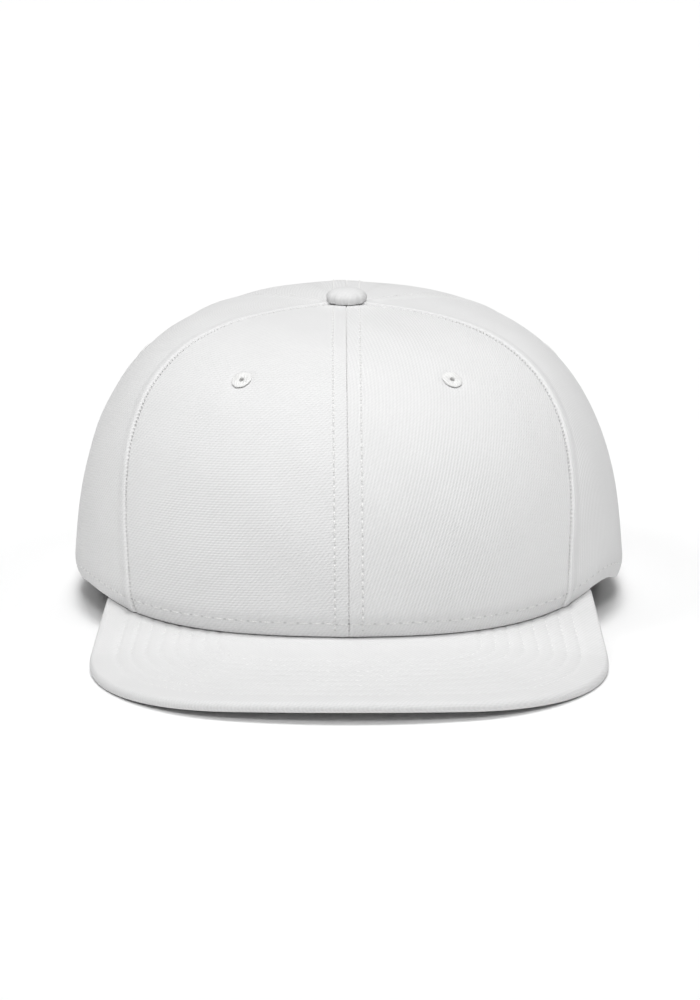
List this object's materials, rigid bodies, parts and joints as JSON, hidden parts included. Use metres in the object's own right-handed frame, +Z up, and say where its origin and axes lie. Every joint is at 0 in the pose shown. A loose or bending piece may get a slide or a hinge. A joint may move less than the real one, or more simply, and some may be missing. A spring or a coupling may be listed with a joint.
{
  "type": "snapback cap",
  "caption": "Plain cap with a high rounded crown, a flat stitched peak, a covered top button and a plastic snap strap.",
  "frame": {"origin": "under the middle of the cap's bounding box, on the surface that it rests on", "axes": "+Z up, the peak points to -Y, +X to the right as seen from the front"},
  "size_m": [0.1898, 0.259, 0.1073],
  "materials": {
    "crown_cloth": "white cotton-blend twill, matte",
    "peak_cloth": "white twill over a stiff board, matte, with rows of stitches",
    "band_cloth": "white plain-woven tape, matte",
    "thread": "white polyester thread, slight sheen",
    "strap_plastic": "white moulded plastic, satin"
  },
  "bodies": {
    "root": {"panel_front_left": "crown_cloth", "panel_front_right": "crown_cloth", "panel_side_left": "crown_cloth", "panel_side_right": "crown_cloth", "panel_back_left": "crown_cloth", "panel_back_right": "crown_cloth", "peak": "peak_cloth", "button": "crown_cloth", "eyelet_front_left": "thread", "eyelet_front_right": "thread", "eyelet_side_left": "thread", "eyelet_side_right": "thread", "eyelet_back_left": "thread", "eyelet_back_right": "thread", "sweatband": "band_cloth", "snap_strap": "strap_plastic"}
  },
  "joints": []
}
